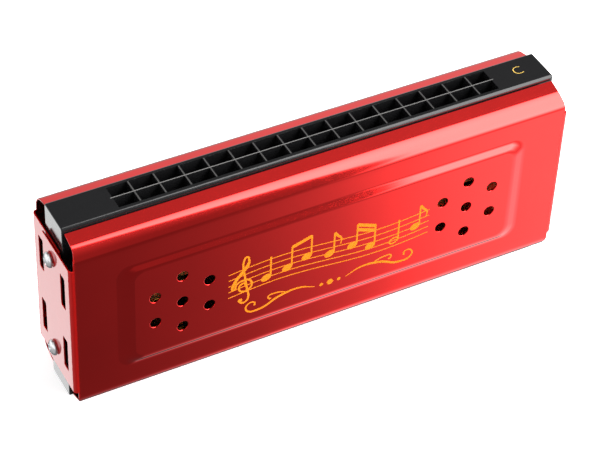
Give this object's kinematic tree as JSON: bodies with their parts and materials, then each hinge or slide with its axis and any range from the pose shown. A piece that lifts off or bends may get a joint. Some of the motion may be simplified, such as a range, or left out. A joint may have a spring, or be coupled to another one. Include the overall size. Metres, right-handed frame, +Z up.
{
  "type": "double-sided tremolo harmonica",
  "caption": "Tremolo harmonica with a mouthpiece along each long edge, black combs, brass reed plates with sprung reeds, and pressed red covers held by end screws.",
  "frame": {"origin": "on the floor under the middle of the instrument, which stands on its lower mouthpiece", "axes": "+X along the row of holes from bass to treble, -Y out of the front cover, +Z up through the upper mouthpiece"},
  "size_m": [0.135, 0.0246, 0.054],
  "materials": {
    "black_plastic": "moulded black plastic with a soft shine",
    "red_enamel": "translucent red enamel over polished sheet metal",
    "brass": "rolled brass sheet",
    "reed_brass": "milled reed brass",
    "chrome": "bright plated screw"
  },
  "bodies": {
    "body": {"upper_comb": "black_plastic", "upper_front_reed_plate": "brass", "upper_front_nail_1": "brass", "upper_front_nail_2": "brass", "upper_front_nail_3": "brass", "upper_front_nail_4": "brass", "upper_front_nail_5": "brass", "upper_front_nail_6": "brass", "upper_rear_reed_plate": "brass", "upper_rear_nail_1": "brass", "upper_rear_nail_2": "brass", "upper_rear_nail_3": "brass", "upper_rear_nail_4": "brass", "upper_rear_nail_5": "brass", "upper_rear_nail_6": "brass", "upper_left_screw": "chrome", "upper_right_screw": "chrome", "lower_comb": "black_plastic", "lower_front_reed_plate": "brass", "lower_front_nail_1": "brass", "lower_front_nail_2": "brass", "lower_front_nail_3": "brass", "lower_front_nail_4": "brass", "lower_front_nail_5": "brass", "lower_front_nail_6": "brass", "lower_rear_reed_plate": "brass", "lower_rear_nail_1": "brass", "lower_rear_nail_2": "brass", "lower_rear_nail_3": "brass", "lower_rear_nail_4": "brass", "lower_rear_nail_5": "brass", "lower_rear_nail_6": "brass", "lower_left_screw": "chrome", "lower_right_screw": "chrome", "front_cover": "red_enamel", "rear_cover": "red_enamel"},
    "upper_front_blow_reeds": {"upper_front_blow_reeds": "reed_brass"},
    "upper_front_draw_reeds": {"upper_front_draw_reeds": "reed_brass"},
    "upper_rear_blow_reeds": {"upper_rear_blow_reeds": "reed_brass"},
    "upper_rear_draw_reeds": {"upper_rear_draw_reeds": "reed_brass"},
    "lower_front_blow_reeds": {"lower_front_blow_reeds": "reed_brass"},
    "lower_front_draw_reeds": {"lower_front_draw_reeds": "reed_brass"},
    "lower_rear_blow_reeds": {"lower_rear_blow_reeds": "reed_brass"},
    "lower_rear_draw_reeds": {"lower_rear_draw_reeds": "reed_brass"}
  },
  "joints": [
    {"name": "upper_front_blow_swing", "type": "hinge", "parent": "body", "child": "upper_front_blow_reeds", "pos_m": [0, -0.00345, 0.0316], "axis": [1, 0, 0], "range_deg": [-4, 4], "stiffness_Nm_per_rad": 0.2},
    {"name": "upper_front_draw_swing", "type": "hinge", "parent": "body", "child": "upper_front_draw_reeds", "pos_m": [0, -0.00535, 0.0448], "axis": [1, 0, 0], "range_deg": [-4, 4], "stiffness_Nm_per_rad": 0.2},
    {"name": "upper_rear_blow_swing", "type": "hinge", "parent": "body", "child": "upper_rear_blow_reeds", "pos_m": [0, 0.00345, 0.0316], "axis": [1, 0, 0], "range_deg": [-4, 4], "stiffness_Nm_per_rad": 0.2},
    {"name": "upper_rear_draw_swing", "type": "hinge", "parent": "body", "child": "upper_rear_draw_reeds", "pos_m": [0, 0.00535, 0.0448], "axis": [1, 0, 0], "range_deg": [-4, 4], "stiffness_Nm_per_rad": 0.2},
    {"name": "lower_front_blow_swing", "type": "hinge", "parent": "body", "child": "lower_front_blow_reeds", "pos_m": [0, -0.00345, 0.0224], "axis": [1, 0, 0], "range_deg": [-4, 4], "stiffness_Nm_per_rad": 0.2},
    {"name": "lower_front_draw_swing", "type": "hinge", "parent": "body", "child": "lower_front_draw_reeds", "pos_m": [0, -0.00535, 0.0092], "axis": [1, 0, 0], "range_deg": [-4, 4], "stiffness_Nm_per_rad": 0.2},
    {"name": "lower_rear_blow_swing", "type": "hinge", "parent": "body", "child": "lower_rear_blow_reeds", "pos_m": [0, 0.00345, 0.0224], "axis": [1, 0, 0], "range_deg": [-4, 4], "stiffness_Nm_per_rad": 0.2},
    {"name": "lower_rear_draw_swing", "type": "hinge", "parent": "body", "child": "lower_rear_draw_reeds", "pos_m": [0, 0.00535, 0.0092], "axis": [1, 0, 0], "range_deg": [-4, 4], "stiffness_Nm_per_rad": 0.2}
  ]
}
